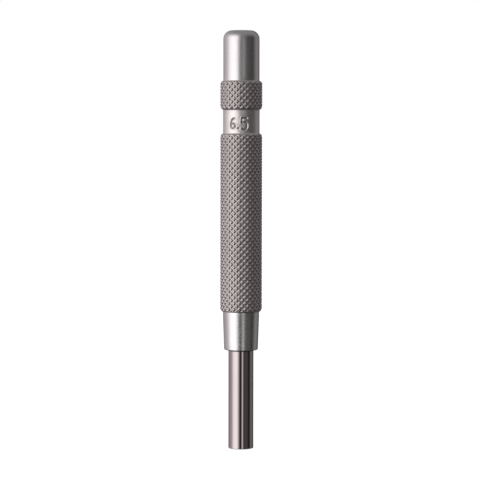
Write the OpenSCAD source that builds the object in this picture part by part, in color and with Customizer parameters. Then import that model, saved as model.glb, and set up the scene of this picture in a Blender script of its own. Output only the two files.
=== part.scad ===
// Pin punch: a knurled steel body with a ground pin locked in its nose.
// Sizes are in millimetres. The centre of the pin's working face is the origin, and the head is up, along +Z.

/* [Pin] */
// Diameter of the ground pin, the punch's nominal size
pin_d = 6.5; // [5:0.1:7]
// Length of pin that shows below the nose
pin_reach = 25.6; // [15:0.1:40]
// Length of the tapered seat inside the body
pin_seat = 20; // [10:0.5:32]
// Taper of the seat: the length along which its diameter falls by one unit
seat_taper = 50; // [40:1:100]
// Edge break round the working face
tip_chamfer = 0.1; // [0.05:0.05:0.5]
// Chamfer on the pin's hidden end
lead_chamfer = 0.5; // [0.3:0.1:1.2]

/* [Nose] */
// Length of the plain nose below the grip
nose_len = 10; // [7:0.1:16]
// Diameter of the nose where it leaves the grip
nose_d = 9.35; // [9:0.05:9.6]
// Length of the nose's straight collar, above its taper
nose_collar = 1.2; // [0.6:0.1:3]
// Diameter at the end of the taper
mouth_d = 8.78; // [8.5:0.02:9]
// Radius on the nose's outer edge
mouth_edge_r = 0.3; // [0.2:0.05:0.45]
// Depth of the countersink that the pin comes out of
mouth_countersink = 0.2; // [0.1:0.05:0.25]

/* [Grip] */
// Diameter over the knurl's crests
grip_d = 10.8; // [10.5:0.05:11.2]
// Length of the knurled grip
grip_len = 45.8; // [30:0.1:60]

/* [Knurl] */
// Number of grooves each way round
knurl_starts = 22; // [18:1:26]
// Angle between the grooves and the punch's axis
knurl_helix = 45; // [35:0.5:50]
// Depth of the grooves below the crests
knurl_depth = 0.37; // [0.3:0.01:0.5]
// Depth of the chamfers that end the knurling, on the radius
knurl_end_drop = 0.4; // [0.3:0.01:0.5]
// Length of the chamfers at the nose end of the grip and the ring
lower_chamfer = 0.7; // [0.4:0.05:1.2]
// Length of the chamfers at the head end of the grip and the ring
upper_chamfer = 0.5; // [0.3:0.05:0.9]

/* [Size band] */
// Length of the plain band that carries the size mark
band_len = 6.3; // [4:0.1:10]
// Diameter of the band
band_d = 9.4; // [9:0.05:9.6]
// Fillet where the band meets the ring
band_root_r = 0.25; // [0.1:0.05:0.3]

/* [Ring] */
// Length of the knurled ring above the band
ring_len = 7.2; // [4:0.1:12]

/* [Head] */
// Length of the plain head above the ring
head_len = 13.1; // [8:0.1:20]
// Diameter of the head
head_d = 9.3; // [9:0.05:9.6]
// Radius round the striking face
head_corner_r = 2.2; // [1:0.1:3]
// Fillet where the head meets the ring
head_root_r = 0.3; // [0.15:0.05:0.35]

/* [Drilling] */
// Diameter of the pilot hole left past the pin's seat
pilot_d = 3; // [2:0.1:4]
// Depth of the pilot hole past the seat, to the shoulder of its drill point
pilot_depth = 1.2; // [0.6:0.1:3]
// Point angle of the drill
drill_point = 118; // [90:1:140]

/* [Hidden] */
$fn = 96;

// How far a cutting shape runs past the surface that it cuts
overrun = 0.5;

// Levels along the axis, from the working face up
mouth_z = pin_reach;
grip_z = mouth_z + nose_len;
band_z = grip_z + grip_len;
ring_z = band_z + band_len;
head_z = ring_z + ring_len;
top_z = head_z + head_len;
seat_z = mouth_z + pin_seat;

// Radii
pin_r = pin_d / 2;
seat_end_r = pin_r - pin_seat / seat_taper / 2;
countersink_r = pin_r - mouth_countersink / seat_taper / 2;
crest_r = grip_d / 2;
root_r = crest_r - knurl_depth;
end_r = crest_r - knurl_end_drop;
clear_r = crest_r + overrun;

// The knurl is a lattice of crests and groove crossings, half a groove's pitch apart each way
half_turns = 2 * knurl_starts;
knurl_rise = PI * grip_d / half_turns / tan(knurl_helix);
knurl_rows = ceil((head_z - grip_z) / knurl_rise) + 2;
// Where the lattice starts: a share of a row below the grip, and a share of a column round from +X
start_row_share = 0.87;
start_column_share = -0.55;
knurl_z = grip_z - start_row_share * knurl_rise;

// A crest where column and row differ in parity, and a groove crossing where they agree
function knurl_r(column, row) = (column + row) % 2 == 0 ? root_r : crest_r;

function knurl_point(column, row) =
    let (turn = 360 * (column + start_column_share) / half_turns, r = knurl_r(column, row))
    [r * cos(turn), r * sin(turn), knurl_z + row * knurl_rise];

// Two facets for each cell of the lattice, which meet along the groove that crosses it
function knurl_cell(column, row) =
    let (
        next = (column + 1) % half_turns,
        a = row * half_turns + column,
        b = row * half_turns + next,
        c = a + half_turns,
        d = b + half_turns
    )
    (column + row) % 2 == 0 ? [[a, d, b], [a, c, d]] : [[a, c, b], [b, c, d]];

// The bar as it leaves the knurling tool: one unbroken diamond pattern from nose to head
module knurled_bar() {
    columns = [0 : half_turns - 1];
    polyhedron(
        points = [
            for (row = [0 : knurl_rows], column = columns) knurl_point(column, row)
        ],
        faces = concat(
            [[for (column = columns) column]],
            [for (row = [0 : knurl_rows - 1], column = columns) each knurl_cell(column, row)],
            [[for (column = columns) knurl_rows * half_turns + half_turns - 1 - column]]
        )
    );
}

// A turned shape that leaves knurling between two levels, with a chamfer at each end
module knurl_window(low, high) {
    lower_slope = lower_chamfer / knurl_end_drop;
    upper_slope = upper_chamfer / knurl_end_drop;
    rotate_extrude() polygon([
        [0, low],
        [end_r, low],
        [clear_r, low + (clear_r - end_r) * lower_slope],
        [clear_r, high - (clear_r - end_r) * upper_slope],
        [end_r, high],
        [0, high]
    ]);
}

// Ring and grip, cut from the one knurled bar, so that their patterns line up across the band
module knurling() {
    intersection() {
        knurled_bar();
        union() {
            knurl_window(grip_z, band_z);
            knurl_window(ring_z, head_z);
        }
    }
}

// Quarter of a circle, which rounds the outer corner of a turned end
module round_corner(r) {
    intersection() {
        circle(r);
        square(r);
    }
}

module nose() {
    taper_z = grip_z - nose_collar;
    rotate_extrude() {
        polygon([
            [0, mouth_z],
            [mouth_d / 2 - mouth_edge_r, mouth_z],
            [mouth_d / 2, mouth_z + mouth_edge_r],
            [nose_d / 2, taper_z],
            [nose_d / 2, grip_z],
            [0, grip_z]
        ]);
        translate([mouth_d / 2 - mouth_edge_r, mouth_z + mouth_edge_r]) mirror([0, 1]) round_corner(mouth_edge_r);
    }
}

// Concave fillet between a plain part and the step above or below it, which faces along +Z
module root_fillet(side_r, r) {
    difference() {
        translate([side_r - r, 0]) square([2 * r, r]);
        translate([side_r + r, r]) circle(r);
    }
}

// Plain band, turned down after knurling, where the size mark goes
module size_band() {
    rotate_extrude() {
        translate([0, band_z]) square([band_d / 2, band_len]);
        translate([0, ring_z]) mirror([0, 1]) root_fillet(band_d / 2, band_root_r);
    }
}

module head() {
    side_r = head_d / 2;
    rotate_extrude() {
        translate([0, head_z]) square([side_r, head_len - head_corner_r]);
        translate([0, head_z]) square([side_r - head_corner_r, head_len]);
        translate([side_r - head_corner_r, top_z - head_corner_r]) round_corner(head_corner_r);
        translate([0, head_z]) root_fillet(side_r, head_root_r);
    }
}

// Taper-reamed bore that the pin locks in, with its countersunk mouth and the pilot drill's point past the seat.
// Pin and bore meet face to face all along the taper, so each blow only seats the pin tighter.
module pin_bore() {
    point_h = pilot_d / 2 / tan(drill_point / 2);
    rotate_extrude() polygon([
        [0, mouth_z - overrun],
        [pin_r + mouth_countersink + overrun, mouth_z - overrun],
        [countersink_r, mouth_z + mouth_countersink],
        [seat_end_r, seat_z],
        [pilot_d / 2, seat_z],
        [pilot_d / 2, seat_z + pilot_depth],
        [0, seat_z + pilot_depth + point_h]
    ]);
}

module body() {
    color([0.66, 0.64, 0.63])
    difference() {
        union() {
            nose();
            knurling();
            size_band();
            head();
        }
        pin_bore();
    }
}

// Ground pin: parallel below the nose, tapered inside it, with a broken edge at each end
module pin() {
    lead_z = seat_z - lead_chamfer;
    lead_r = seat_end_r + lead_chamfer / seat_taper / 2;
    color([0.72, 0.68, 0.67])
    rotate_extrude() polygon([
        [0, 0],
        [pin_r - tip_chamfer, 0],
        [pin_r, tip_chamfer],
        [pin_r, mouth_z],
        [lead_r, lead_z],
        [lead_r - lead_chamfer, seat_z],
        [0, seat_z]
    ]);
}

body();
pin();
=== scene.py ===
"""Looks of a 6.5 mm pin punch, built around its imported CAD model. Metres, with the head up along +Z.

The body is one closed turned surface: it starts at the blind end of the bore, comes out at the nose, runs up
through the knurled grip, the size band and the knurled ring, and closes over the head.
"""

import math

import bmesh
import bpy
import numpy as np
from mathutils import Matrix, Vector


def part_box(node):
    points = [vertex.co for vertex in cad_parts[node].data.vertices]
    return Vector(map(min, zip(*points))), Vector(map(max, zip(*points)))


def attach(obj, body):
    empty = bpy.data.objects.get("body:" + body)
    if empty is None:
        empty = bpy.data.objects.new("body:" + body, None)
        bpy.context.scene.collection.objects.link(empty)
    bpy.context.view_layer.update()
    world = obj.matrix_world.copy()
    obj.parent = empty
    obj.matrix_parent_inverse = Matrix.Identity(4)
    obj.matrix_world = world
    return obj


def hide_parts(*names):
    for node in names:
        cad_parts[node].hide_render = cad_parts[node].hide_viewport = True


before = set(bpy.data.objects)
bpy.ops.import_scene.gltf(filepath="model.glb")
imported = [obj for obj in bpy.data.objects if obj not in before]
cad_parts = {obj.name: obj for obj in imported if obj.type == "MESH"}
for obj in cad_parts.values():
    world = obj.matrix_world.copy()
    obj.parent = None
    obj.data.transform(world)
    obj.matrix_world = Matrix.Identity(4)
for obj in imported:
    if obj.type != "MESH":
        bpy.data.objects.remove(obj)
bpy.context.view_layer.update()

MM = 0.001

# Levels and the pin's radius, which the imported model gives
body_low, body_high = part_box("body")
pin_low, pin_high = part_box("pin")
mouth_z = body_low.z
top_z = body_high.z
seat_z = pin_high.z
pin_r = pin_high.x

# Nose
nose_len = 10 * MM
nose_r = 4.675 * MM
nose_collar = 1.2 * MM
mouth_r = 4.39 * MM
mouth_edge_r = 0.3 * MM
mouth_countersink = 0.2 * MM

# Grip, band and ring
crest_r = 5.4 * MM
grip_len = 45.8 * MM
band_len = 6.3 * MM
band_r = 4.7 * MM
band_root_r = 0.25 * MM
band_foot_r = 0.3 * MM
ring_len = 7.2 * MM
grip_z = mouth_z + nose_len
band_z = grip_z + grip_len
ring_z = band_z + band_len
head_z = ring_z + ring_len

# Knurl
knurl_starts = 22
knurl_helix = math.radians(45)
knurl_depth = 0.27 * MM
knurl_end_drop = 0.4 * MM
lower_chamfer = 0.7 * MM
upper_chamfer = 0.5 * MM
knurl_pitch = math.tau * crest_r / knurl_starts / math.tan(knurl_helix)
# Where the lattice of groove crossings starts: shares of a row below the grip and of a column round from +X
start_row_share = 0.87
start_column_share = -0.55
knurl_z = grip_z - start_row_share * knurl_pitch / 2
knurl_turn = start_column_share * math.pi / knurl_starts
# Half widths of a groove's flat floor and of a diamond's flat crest, as shares of the pitch
groove_floor = 0.04
crest_land = 0.12
# Places across one groove's pitch where the diamonds are sampled, and where their chamfered ends are
knurl_samples = (groove_floor, 0.25, 0.5 - crest_land, 0.5 + crest_land, 0.75, 1 - groove_floor)
per_pitch = len(knurl_samples)
chamfer_samples = (0.25, 0.5, 0.75, 1)

# Head, whose striking face is crowned: it rises from its edge to the axis
head_r = 4.65 * MM
head_corner_r = 2.2 * MM
head_root_r = 0.3 * MM
head_crown = 0.07 * MM
# Rings of the striking face, as shares of its radius
crown_rings = (0.8, 0.6, 0.4, 0.2, 0.05)

# Bore and pin seat. The seat's diameter falls by 1 in this length.
seat_taper = 50
pilot_r = 1.5 * MM
pilot_depth = 1.2 * MM
drill_half_angle = math.radians(59)
tip_chamfer = 0.1 * MM
lead_chamfer = 0.5 * MM
seat_end_r = pin_r - (seat_z - mouth_z) / seat_taper / 2
# Painted shade on the pin, from a little below the nose up, where it enters the body
pin_shade_z = mouth_z - 0.3 * MM

# Angle of the front, where the size mark is
front_turn = -math.pi / 2

# Segments round the plain turned parts, and the angle from which an edge is sharp
around = 192
sharp_angle = math.radians(25)

# Distances under which two points of the knurl are one, or lie at the same level
same_point = 1e-7
same_level = 1e-6

# Numbers of the body's finishes, in the order of its materials; the last is the painted shade and dirt in the
# mark's strokes
head_finish, knurl_finish, band_finish, nose_finish, mark_shade_and_dirt_finish = range(5)


def even_turns(count):
    """Angles of a ring with evenly spaced points"""
    return np.arange(count) * math.tau / count


class Skin:
    """A closed surface round the Z axis, made ring by ring. Each face has the number of its finish."""

    def __init__(self):
        self.points = []
        self.faces = []
        self.finishes = []

    def add_points(self, points):
        start = len(self.points)
        self.points.extend(points)
        return list(range(start, len(self.points)))

    def add_face(self, corners, finish):
        self.faces.append(corners)
        self.finishes.append(finish)

    def ring(self, radius, level, turns=None):
        """Points of one ring, in order of angle"""
        turns = even_turns(around) if turns is None else turns
        radii = np.broadcast_to(radius, len(turns))
        return self.add_points([(r * math.cos(t), r * math.sin(t), level) for r, t in zip(radii, turns)])

    def turn(self, index):
        """Angle of a point round the axis"""
        x, y, _ = self.points[index]
        return math.atan2(y, x) % math.tau

    def strip(self, lower, upper, finish):
        """Quads between two rings of as many points"""
        for i in range(len(lower)):
            j = (i + 1) % len(lower)
            self.add_face((lower[i], lower[j], upper[j], upper[i]), finish)

    def zip_rings(self, lower, upper, finish):
        """Triangles between two rings of different counts, taken in order of angle"""
        lower = sorted(lower, key=self.turn)
        upper = sorted(upper, key=self.turn)
        a_turns = [self.turn(i) for i in lower] + [self.turn(lower[0]) + math.tau]
        b_turns = [self.turn(i) for i in upper] + [self.turn(upper[0]) + math.tau]
        a = b = 0
        while a < len(lower) or b < len(upper):
            low, high = lower[a % len(lower)], upper[b % len(upper)]
            if b == len(upper) or (a < len(lower) and a_turns[a + 1] <= b_turns[b + 1]):
                a += 1
                self.add_face((low, lower[a % len(lower)], high), finish)
            else:
                b += 1
                self.add_face((low, upper[b % len(upper)], high), finish)

    def cap(self, ring, level, finish, upward):
        """Closes the surface at a point on the axis"""
        (pole,) = self.add_points([(0, 0, level)])
        for i in range(len(ring)):
            j = (i + 1) % len(ring)
            corners = (ring[i], ring[j], pole) if upward else (ring[j], ring[i], pole)
            self.add_face(corners, finish)

    def turn_profile(self, start, profile, finish, turns=None):
        """Carries a ring along a profile of (radius, level) points, and returns the last ring"""
        for radius, level in profile:
            nxt = self.ring(radius, level, turns)
            self.strip(start, nxt, finish)
            start = nxt
        return start

    def mesh(self, name, materials):
        """Makes the surface an object with these materials"""
        mesh = bpy.data.meshes.new(name)
        mesh.from_pydata(self.points, [], self.faces)
        for material in materials:
            mesh.materials.append(material)
        mesh.polygons.foreach_set("material_index", self.finishes)
        mesh.polygons.foreach_set("use_smooth", [True] * len(self.faces))
        mesh.validate()
        mesh.update()
        mesh.set_sharp_from_angle(angle=sharp_angle)
        piece = bpy.data.objects.new(name, mesh)
        bpy.context.scene.collection.objects.link(piece)
        return piece


def arc(centre_r, centre_z, radius, first, last, steps):
    """(radius, level) points along a round corner, from one angle to another in degrees"""
    angles = np.radians(np.linspace(first, last, steps + 1))
    return [(centre_r + radius * math.cos(a), centre_z + radius * math.sin(a)) for a in angles]


def straight(start, end, steps):
    """(radius, level) points from start to end, without start"""
    start, end = np.array(start), np.array(end)
    return [tuple(start + (end - start) * i / steps) for i in range(1, steps + 1)]


def groove_height(share):
    """Height over a groove's floor, from 0 to 1, at a share of the pitch from its middle"""
    away = np.abs(share - np.round(share))
    return np.clip((away - groove_floor) / (0.5 - crest_land - groove_floor), 0, 1)


def knurl_radius(turns, levels, low, high):
    """Radius of the knurled surface, cut back by the chamfers that end it at the levels low and high"""
    round_share = (turns - knurl_turn) / math.tau * knurl_starts
    along_share = (levels - knurl_z) / knurl_pitch
    height = np.minimum(groove_height(round_share + along_share), groove_height(round_share - along_share))
    radius = crest_r - knurl_depth * (1 - height)
    end_r = crest_r - knurl_end_drop
    lower_cone = end_r + (levels - low) * knurl_end_drop / lower_chamfer
    upper_cone = end_r + (high - levels) * knurl_end_drop / upper_chamfer
    return np.minimum(radius, np.minimum(lower_cone, upper_cone))


def lattice_place(step):
    """Place of a step of the lattice, in pitches across the grooves of one hand"""
    return step // per_pitch + knurl_samples[step % per_pitch]


def knurl_lattice(low, high):
    """Triangles on a plain cylinder, laid along the grooves of both hands, between two levels"""
    columns = 2 * knurl_starts * per_pitch
    first = 2 * math.floor((low - knurl_z) / knurl_pitch * per_pitch) - per_pitch
    last = 2 * math.ceil((high - knurl_z) / knurl_pitch * per_pitch) + per_pitch
    sheet = bmesh.new()
    corner = {}
    for row in range(first, last + 1):
        for column in range(row % 2, columns, 2):
            right = lattice_place((column + row) // 2)
            left = lattice_place((column - row) // 2)
            turn = (right + left) / 2 / knurl_starts * math.tau + knurl_turn
            level = knurl_z + knurl_pitch * (right - left) / 2
            corner[column, row] = sheet.verts.new((math.cos(turn), math.sin(turn), level))
    # How many cells, counted from a groove, lie on the flank that rises from it
    rising = (per_pitch - 1) // 2
    for row in range(first + 1, last):
        for column in range((row + 1) % 2, columns, 2):
            south = corner[column, row - 1]
            north = corner[column, row + 1]
            west = corner[(column - 1) % columns, row]
            east = corner[(column + 1) % columns, row]
            right = (column + row - 1) // 2 % per_pitch
            left = (column - row - 1) // 2 % per_pitch
            # A cell is split where grooves of both hands can be equally deep, as a crease goes there
            if (right < rising) == (left < rising):
                sheet.faces.new((south, east, west))
                sheet.faces.new((east, north, west))
            else:
                sheet.faces.new((south, east, north))
                sheet.faces.new((south, north, west))
    return sheet


def cut_sheet(sheet, level, clear_below=False, clear_above=False):
    """Cuts the sheet at a level, and removes what lies below or above it if asked to"""
    everything = sheet.verts[:] + sheet.edges[:] + sheet.faces[:]
    bmesh.ops.bisect_plane(sheet, geom=everything, dist=same_point,
                           plane_co=(0, 0, level), plane_no=(0, 0, 1),
                           clear_inner=clear_below, clear_outer=clear_above)


def knurl_zone(skin, low, high, finish):
    """Adds knurling between two levels, and returns its lowest and highest rings"""
    sheet = knurl_lattice(low, high)
    cut_sheet(sheet, low, clear_below=True)
    cut_sheet(sheet, high, clear_above=True)
    for share in chamfer_samples:
        cut_sheet(sheet, low + lower_chamfer * share)
        cut_sheet(sheet, high - upper_chamfer * share)
    sheet.verts.index_update()
    flat = np.array([v.co for v in sheet.verts])
    turns = np.arctan2(flat[:, 1], flat[:, 0])
    radii = knurl_radius(turns, flat[:, 2], low, high)
    points = np.column_stack((radii * np.cos(turns), radii * np.sin(turns), flat[:, 2]))
    indices = skin.add_points([tuple(p) for p in points])
    for face in sheet.faces:
        skin.add_face(tuple(indices[v.index] for v in face.verts), finish)
    rings = []
    for level in (low, high):
        rim = [v for v in sheet.verts if v.is_boundary and abs(v.co.z - level) < same_level]
        rings.append([indices[v.index] for v in rim])
    sheet.free()
    return rings


# Size mark on the band: half the width of its strokes, their depth, and the height of the burr along them
mark_stroke = 0.31 * MM
mark_depth = 0.22 * MM
mark_burr = 0.035 * MM
# The burr's middle and half width, from the middle of the stroke, as shares of the stroke's half width
burr_middle_share = 1.5
burr_reach_share = 0.5
# Share of its depth from which a stroke's floor is painted dark: painted shade in the stroke, and dirt
shaded_and_soiled_share = 0.7
# Spacing of the band's fine grid, its ends left and right of the front, and its levels above the band's foot
mark_grid = 0.055 * MM
mark_left = -3.6 * MM
mark_right = 2.2 * MM
mark_foot = 0.9 * MM
mark_top = 4.9 * MM
# Step round the rest of the band
band_step = math.radians(2.5)


def bow(centre_x, centre_z, reach_x, reach_z, first, last, steps=14):
    """Points of a bowed stroke: an arc of an ellipse, between two angles in degrees"""
    angles = np.radians(np.linspace(first, last, steps + 1))
    return [(centre_x + reach_x * math.cos(a), centre_z + reach_z * math.sin(a)) for a in angles]


# Strokes in millimetres: arc length from the front to the right, and level above the band's foot
mark_strokes = (
    bow(-1.75, 2.2, 1.1, 1.8, 185, 100),
    bow(-2.2, 2.1, 0.62, 0.58, 0, 360, 20),
    [(-0.78, 1.5), (-0.72, 1.5)],
    [(1.42, 4.1), (0.3, 4.1), (0.16, 3.0)],
    bow(0.72, 2.15, 0.8, 0.95, 130, -120, 20),
)


def mark_relief(turns, level):
    """How far the size mark moves the band's surface out at these angles: below nought in its strokes"""
    from_front = (turns - front_turn + math.pi) % math.tau - math.pi
    points = np.column_stack((from_front * band_r, np.full(len(turns), level - band_z)))
    away = np.full(len(points), np.inf)
    for stroke in mark_strokes:
        corners = np.array(stroke) * MM
        for start, end in zip(corners[:-1], corners[1:]):
            run = end - start
            share = np.clip((points - start) @ run / (run @ run), 0, 1)
            away = np.minimum(away, np.linalg.norm(points - start - share[:, None] * run, axis=1))
    groove = -mark_depth * np.clip(1 - (away / mark_stroke) ** 2, 0, 1)
    burr = mark_burr * np.clip(1 - np.abs(away / mark_stroke - burr_middle_share) / burr_reach_share, 0, 1)
    return groove + burr


def band_wall(skin, finish):
    """The plain band and the fillets at its ends, on a grid that is fine at the size mark.
    Returns its lowest and highest rings."""
    fine = np.arange(mark_left, mark_right, mark_grid) / band_r
    rest = np.arange(mark_right / band_r, mark_left / band_r + math.tau, band_step)
    turns = np.sort((np.concatenate((fine, rest)) + front_turn) % math.tau)
    levels = np.concatenate((
        np.linspace(band_foot_r, mark_foot, 3, endpoint=False),
        np.arange(mark_foot, mark_top, mark_grid),
        [mark_top, band_len - band_root_r],
    )) + band_z
    profile = [(band_r + mark_relief(turns, level), level) for level in levels]
    foot = arc(band_r + band_foot_r, band_z + band_foot_r, band_foot_r, 270, 180, 4)
    root = arc(band_r + band_root_r, ring_z - band_root_r, band_root_r, 180, 90, 4)
    first = skin.ring(*foot[0], turns)
    return first, skin.turn_profile(first, foot[1:-1] + profile + root[1:], finish, turns)


def shade_and_soil_mark_floors(skin):
    """Gives the floors of the size mark's strokes a dark finish: painted shade in the recesses, and dirt that
    stays in them
    """
    for number, corners in enumerate(skin.faces):
        if skin.finishes[number] == band_finish:
            radii = [math.hypot(*skin.points[corner][:2]) for corner in corners]
            if max(radii) < band_r - mark_depth * shaded_and_soiled_share:
                skin.finishes[number] = mark_shade_and_dirt_finish


def make_body(materials):
    """The body, from the blind end of its bore to the middle of its striking face"""
    skin = Skin()
    pilot_z = seat_z + pilot_depth
    first = skin.ring(pilot_r, pilot_z)
    skin.cap(first, pilot_z + pilot_r / math.tan(drill_half_angle), nose_finish, upward=False)
    bore = [
        (pilot_r, seat_z),
        (seat_end_r, seat_z),
        (pin_r - mouth_countersink / seat_taper / 2, mouth_z + mouth_countersink),
        (pin_r + mouth_countersink, mouth_z),
    ]
    edge = arc(mouth_r - mouth_edge_r, mouth_z + mouth_edge_r, mouth_edge_r, -90, 0, 6)
    taper = straight(edge[-1], (nose_r, grip_z - nose_collar), 12)
    nose_end = skin.turn_profile(first, bore + edge + taper + [(nose_r, grip_z)], nose_finish)

    grip_low, grip_high = knurl_zone(skin, grip_z, band_z, knurl_finish)
    skin.zip_rings(nose_end, grip_low, nose_finish)

    band_low, band_high = band_wall(skin, band_finish)
    skin.zip_rings(grip_high, band_low, band_finish)

    ring_low, ring_high = knurl_zone(skin, ring_z, head_z, knurl_finish)
    skin.zip_rings(band_high, ring_low, band_finish)

    root = arc(head_r + head_root_r, head_z + head_root_r, head_root_r, 270, 180, 5)
    head_low = skin.ring(*root[0])
    skin.zip_rings(ring_high, head_low, head_finish)
    crown_z = top_z - head_crown
    corner = arc(head_r - head_corner_r, crown_z - head_corner_r, head_corner_r, 0, 90, 16)
    side = straight(root[-1], corner[0], 8)
    face = [((head_r - head_corner_r) * share, top_z - head_crown * share ** 2) for share in crown_rings]
    head_top = skin.turn_profile(head_low, root[1:] + side + corner[1:] + face, head_finish)
    skin.cap(head_top, top_z, head_finish, upward=True)
    shade_and_soil_mark_floors(skin)
    return skin.mesh("punch_body", materials)


def make_pin(material):
    """The pin, parallel down to its broken edge at the working face, and tapered inside the body"""
    skin = Skin()
    tip = skin.ring(pin_r - tip_chamfer, 0)
    skin.cap(tip, 0, 0, upward=False)
    shank = straight((pin_r, tip_chamfer), (pin_r, mouth_z), 16)
    lead_z = seat_z - lead_chamfer
    lead_r = seat_end_r + lead_chamfer / seat_taper / 2
    profile = [(pin_r, tip_chamfer)] + shank + [(lead_r, lead_z), (lead_r - lead_chamfer, seat_z)]
    end = skin.turn_profile(tip, profile, 0)
    skin.cap(end, seat_z, 0, upward=True)
    return skin.mesh("punch_pin", [material])


def put(tree, kind, inputs=None, **settings):
    """Adds a node, sets its options, and sets or wires its inputs"""
    node = tree.nodes.new(kind)
    for name, value in settings.items():
        setattr(node, name, value)
    for name, value in (inputs or {}).items():
        if isinstance(value, bpy.types.NodeSocket):
            tree.links.new(value, node.inputs[name])
        else:
            node.inputs[name].default_value = value
    return node


def stretched_noise(tree, across, along, detail=3.0):
    """Noise whose marks are `across` metres wide round the punch and `along` metres wide along its axis"""
    place = put(tree, "ShaderNodeTexCoord").outputs["Object"]
    scaled = put(tree, "ShaderNodeVectorMath", {0: place, 1: (1 / across, 1 / across, 1 / along)},
                 operation="MULTIPLY").outputs[0]
    return put(tree, "ShaderNodeTexNoise", {"Vector": scaled, "Scale": 1.0, "Detail": detail}).outputs["Fac"]


def ranged(tree, value, low, high, from_low=0.3, from_high=0.7, **settings):
    """Maps a range of a value, by default the middle range of a noise, to the range wanted"""
    spans = {"Value": value, "From Min": from_low, "From Max": from_high, "To Min": low, "To Max": high}
    return put(tree, "ShaderNodeMapRange", spans, **settings).outputs["Result"]


def mixed(tree, factor, first, second):
    """Colour between two colours, which a factor from 0 to 1 picks"""
    # Of the node's many sockets, 6, 7 and output 2 are its colours
    return put(tree, "ShaderNodeMix", {0: factor, 6: first, 7: second}, data_type="RGBA").outputs[2]


# Size of the slow patches of a steel's two colours
patch_size = 12 * MM
# Turn of the brushed highlights from the tangent, which runs round the punch, as a share of a full turn
brush_turn = 0.25
# Colour of the painted shade, and the height over which a steel goes over to it
painted_shade_colour = (0.05, 0.045, 0.045, 1)
painted_shade_fade = 0.1 * MM


def steel(name, colour, dark_colour, roughness, bumps, brushed=0.0, shaded_from=None):
    """Steel with a roughness range, slow colour patches and layers of bump, each (across, along, height).
    The brushed share stretches its highlights along the axis, as marks that run round the punch do.
    Above the given level the steel is painted near black, as painted shade."""
    material = bpy.data.materials.new(name)
    material.use_nodes = True
    tree = material.node_tree
    tree.nodes.clear()
    patch = stretched_noise(tree, patch_size, patch_size)
    metal = mixed(tree, ranged(tree, patch, 0, 1), (*dark_colour, 1), (*colour, 1))
    # Painted shade: the steel goes near black above the given level
    if shaded_from is not None:
        place = put(tree, "ShaderNodeTexCoord").outputs["Object"]
        level = put(tree, "ShaderNodeSeparateXYZ", {"Vector": place}).outputs["Z"]
        shaded = ranged(tree, level, 0, 1, shaded_from, shaded_from + painted_shade_fade)
        metal = mixed(tree, shaded, metal, painted_shade_colour)
    normal = None
    for across, along, height in bumps:
        noise = stretched_noise(tree, across, along)
        inputs = {"Height": noise, "Distance": height, "Strength": 1.0}
        if normal is not None:
            inputs["Normal"] = normal
        normal = put(tree, "ShaderNodeBump", inputs).outputs["Normal"]
    across, along, _ = bumps[0]
    rough = ranged(tree, stretched_noise(tree, across, along * 2), *roughness)
    shader = put(tree, "ShaderNodeBsdfPrincipled",
                 {"Base Color": metal, "Metallic": 1.0, "Roughness": rough, "Normal": normal,
                  "Anisotropic": brushed, "Anisotropic Rotation": brush_turn})
    if brushed:
        tangent = put(tree, "ShaderNodeTangent", direction_type="RADIAL", axis="Z")
        tree.links.new(tangent.outputs[0], shader.inputs["Tangent"])
    put(tree, "ShaderNodeOutputMaterial", {"Surface": shader.outputs[0]})
    return material


# Studio, as the metal sees it all round: (degrees from the camera's side, level, tint), negative to the left
wall_tint = (1, 0.92, 0.93)
softbox_tint = (1, 0.965, 0.975)
strip_tint = (1, 1.02, 0.99)
dark_tint = (1, 0.90, 0.90)
# What the pin mirrors, below the horizon
low_studio = (
    # Wall behind the left side
    (-180, 0.18, wall_tint), (-140, 0.30, wall_tint), (-94, 0.55, wall_tint),
    # Large softbox
    (-68, 1.38, softbox_tint), (-38, 1.50, softbox_tint),
    # Black flag, and the strip light next to it
    (-11, 0.05, dark_tint), (4, 0.03, dark_tint), (12, 0.78, strip_tint), (16, 0.78, strip_tint),
    # Dark side, with a blacker band at its far end
    (23, 0.08, dark_tint), (58, 0.09, dark_tint), (72, 0.03, dark_tint), (84, 0.02, dark_tint),
    # Dim card on the right
    (100, 0.20, wall_tint), (126, 0.20, wall_tint), (144, 0.06, dark_tint), (180, 0.18, wall_tint),
)
# What the satin body sees from the horizon up, where the softbox reaches farther round to the front
high_studio = (
    (-180, 0.20, wall_tint), (-140, 0.40, wall_tint), (-98, 0.60, wall_tint),
    (-84, 1.10, softbox_tint), (-60, 1.25, softbox_tint), (-28, 1.30, softbox_tint),
    (-9, 0.14, dark_tint), (8, 0.15, strip_tint), (20, 0.17, strip_tint), (31, 0.04, dark_tint),
    (80, 0.01, dark_tint), (108, 0.21, dark_tint), (134, 0.21, dark_tint), (150, 0.06, dark_tint),
    (180, 0.20, wall_tint),
)
# Overhead and on the ground: the share of the level at the horizon that is left, and what is added to it
overhead = (0.0, 0.2)
on_ground = (0.1, 0.03)
# Heights of a direction, from -1 to 1, between which the studio goes over from one part to the next
low_to_high = (-0.12, 0.01)
high_to_overhead = (0.4, 0.85)
low_to_ground = (-0.25, -0.6)


def studio_ramp(tree, share, stops):
    """Colours at shares of a full turn that starts behind the punch"""
    ramp = put(tree, "ShaderNodeValToRGB", {"Fac": share})
    elements = ramp.color_ramp.elements
    for number, (degrees, level, tint) in enumerate(stops):
        place = (degrees + 180) / 360
        stop = elements[number] if number < 2 else elements.new(place)
        stop.position = place
        stop.color = (*(level * part for part in tint), 1)
    return ramp.outputs["Color"]


def faded(tree, factor, colour, share, added):
    """Colour that goes to a share of itself and an even level as the factor goes to 1"""
    far = put(tree, "ShaderNodeVectorMath", {0: colour, 1: (share,) * 3, 2: (added,) * 3},
              operation="MULTIPLY_ADD").outputs[0]
    return mixed(tree, factor, colour, far)


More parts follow.
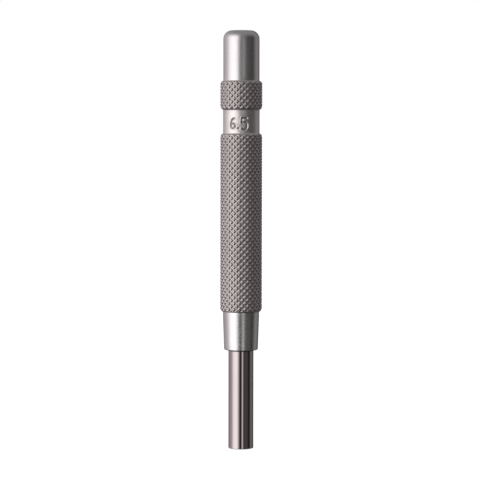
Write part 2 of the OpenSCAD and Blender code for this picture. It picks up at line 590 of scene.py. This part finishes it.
def studio_world():
    """White to the camera; to the metal, soft cards and dark flags round it; to the floor, an even level"""
    world = bpy.data.worlds.new("studio")
    bpy.context.scene.world = world
    world.use_nodes = True
    tree = world.node_tree
    tree.nodes.clear()
    direction = put(tree, "ShaderNodeTexCoord").outputs["Generated"]
    part = put(tree, "ShaderNodeSeparateXYZ", {"Vector": direction})
    toward = put(tree, "ShaderNodeMath", {0: part.outputs["Y"], 1: -1.0}, operation="MULTIPLY").outputs[0]
    azimuth = put(tree, "ShaderNodeMath", {0: part.outputs["X"], 1: toward}, operation="ARCTAN2").outputs[0]
    share = ranged(tree, azimuth, 0, 1, -math.pi, math.pi)
    height = part.outputs["Z"]
    horizon = ranged(tree, height, 0, 1, *low_to_high)
    up = ranged(tree, height, 0, 1, *high_to_overhead)
    down = ranged(tree, height, 0, 1, *low_to_ground, interpolation_type="SMOOTHSTEP")
    low = studio_ramp(tree, share, low_studio)
    high = studio_ramp(tree, share, high_studio)
    level = mixed(tree, horizon, low, high)
    level = faded(tree, up, level, *overhead)
    level = faded(tree, down, level, *on_ground)
    path = put(tree, "ShaderNodeLightPath")
    studio = put(tree, "ShaderNodeBackground", {"Color": level}).outputs[0]
    white = put(tree, "ShaderNodeBackground", {"Color": (1, 1, 1, 1), "Strength": 1.0}).outputs[0]
    lit = put(tree, "ShaderNodeMixShader", {0: path.outputs["Is Glossy Ray"], 1: white, 2: studio}).outputs[0]
    seen = put(tree, "ShaderNodeMath",
               {0: path.outputs["Is Camera Ray"], 1: path.outputs["Is Transmission Ray"]},
               operation="MAXIMUM").outputs[0]
    shown = put(tree, "ShaderNodeMixShader", {0: seen, 1: lit, 2: white}).outputs[0]
    put(tree, "ShaderNodeOutputWorld", {"Surface": shown})


# Floor: half its width, its gap under the working face, its grey, and its glow to the camera
floor_reach = 6.0
floor_gap = 0.02 * MM
floor_grey = 0.4
floor_glow = 0.7


def studio_floor():
    """A white floor that glows to the camera up to plain white, and still darkens in the punch's shadow"""
    mesh = bpy.data.meshes.new("floor")
    corners = [(x * floor_reach, y * floor_reach, 0) for x, y in ((-1, -1), (1, -1), (1, 1), (-1, 1))]
    mesh.from_pydata(corners, [], [(0, 1, 2, 3)])
    floor = bpy.data.objects.new("floor", mesh)
    bpy.context.scene.collection.objects.link(floor)
    floor.location.z = -floor_gap
    floor.visible_glossy = False
    material = bpy.data.materials.new("white_floor")
    material.use_nodes = True
    tree = material.node_tree
    tree.nodes.clear()
    path = put(tree, "ShaderNodeLightPath")
    matt = put(tree, "ShaderNodeBsdfDiffuse", {"Color": (floor_grey, floor_grey, floor_grey, 1)}).outputs[0]
    glow = put(tree, "ShaderNodeEmission", {"Color": (1, 1, 1, 1), "Strength": floor_glow}).outputs[0]
    both = put(tree, "ShaderNodeAddShader", {0: matt, 1: glow}).outputs[0]
    shown = put(tree, "ShaderNodeMixShader", {0: path.outputs["Is Camera Ray"], 1: matt, 2: both}).outputs[0]
    put(tree, "ShaderNodeOutputMaterial", {"Surface": shown})
    mesh.materials.append(material)


# Camera, fitted to the photograph: half the picture's height and the focal length, both in pixels
half_picture_px = 240
focal_px = 2080
camera_distance = 536 * MM
camera_height = 88.6 * MM
# How far the camera stands to the side, and how far it looks down and leans, in degrees
camera_side = -0.35 * MM
camera_drop = 3.69
camera_lean = -0.09


def studio_camera():
    """The camera in front of the punch, a little above its middle"""
    data = bpy.data.cameras.new("camera")
    data.sensor_fit = "VERTICAL"
    data.angle = 2 * math.atan(half_picture_px / focal_px)
    data.clip_start = 0.01
    data.clip_end = 20
    camera = bpy.data.objects.new("camera", data)
    bpy.context.scene.collection.objects.link(camera)
    camera.location = (camera_side, -camera_distance, camera_height)
    camera.rotation_euler = (math.radians(90 - camera_drop), math.radians(camera_lean), 0)
    bpy.context.scene.camera = camera


turned = steel("turned_steel", (0.88, 0.86, 0.87), (0.84, 0.82, 0.83), (0.30, 0.36),
               [(6 * MM, 0.07 * MM, 0.008 * MM), (0.5 * MM, 0.3 * MM, 0.02 * MM)], brushed=0.4)
nose_steel = steel("nose_steel", (0.87, 0.855, 0.865), (0.83, 0.81, 0.82), (0.22, 0.30),
                   [(1.0 * MM, 0.2 * MM, 0.025 * MM), (0.25 * MM, 0.2 * MM, 0.01 * MM)], brushed=0.2)
knurled = steel("knurled_steel", (0.74, 0.69, 0.685), (0.68, 0.635, 0.63), (0.28, 0.36),
                [(0.12 * MM, 0.12 * MM, 0.006 * MM)])
band = steel("band_steel", (0.95, 0.92, 0.91), (0.91, 0.88, 0.87), (0.38, 0.46),
             [(0.2 * MM, 0.12 * MM, 0.005 * MM)])
# Dark steel of the mark's stroke floors: painted shade, and dirt
mark_shade_and_dirt_steel = steel("shaded_dirty_mark_steel", (0.36, 0.34, 0.34), (0.32, 0.30, 0.30), (0.40, 0.46),
               [(0.2 * MM, 0.12 * MM, 0.005 * MM)])
# The pin is painted near black just below the nose, as painted shade
ground = steel("ground_steel", (0.60, 0.535, 0.54), (0.575, 0.51, 0.515), (0.03, 0.06),
               [(8 * MM, 0.04 * MM, 0.0005 * MM)], shaded_from=pin_shade_z)

body = make_body([turned, knurled, band, nose_steel, mark_shade_and_dirt_steel])
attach(body, "root")
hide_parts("body")

pin = make_pin(ground)
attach(pin, "root")
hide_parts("pin")

studio_world()
studio_floor()
studio_camera()
bpy.context.scene.view_settings.view_transform = "Standard"
